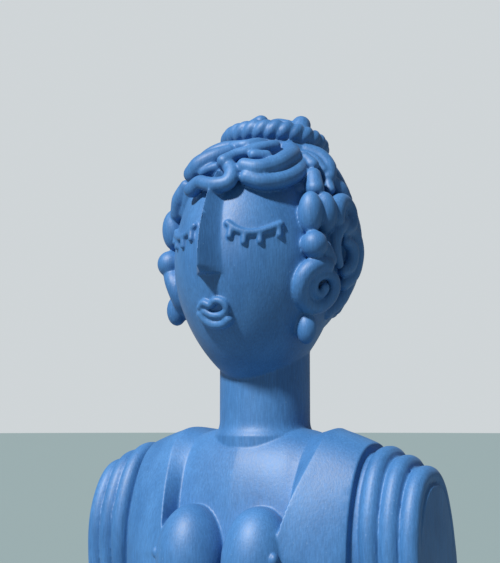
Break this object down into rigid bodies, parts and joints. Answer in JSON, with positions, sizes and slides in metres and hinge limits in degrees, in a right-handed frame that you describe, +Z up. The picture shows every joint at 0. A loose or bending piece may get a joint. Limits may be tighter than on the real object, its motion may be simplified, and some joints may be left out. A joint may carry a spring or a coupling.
{
  "type": "terracotta bust",
  "caption": "Blue painted terracotta bust of a woman with a plain egg-shaped head, closed drawn eyes, coiled hair under a twisted band and ribbed sleeves, cut flat below to stand on a shelf.",
  "frame": {"origin": "middle of the flat underside, straight below the neck", "axes": "+Z up, the face looks along -Y, the figure's left shoulder is on +X"},
  "size_m": [0.212, 0.1333, 0.3068],
  "materials": {
    "blue_paint": "semi-matte blue paint, brushed over fired terracotta"
  },
  "bodies": {
    "root": {"bust": "blue_paint"}
  },
  "joints": []
}
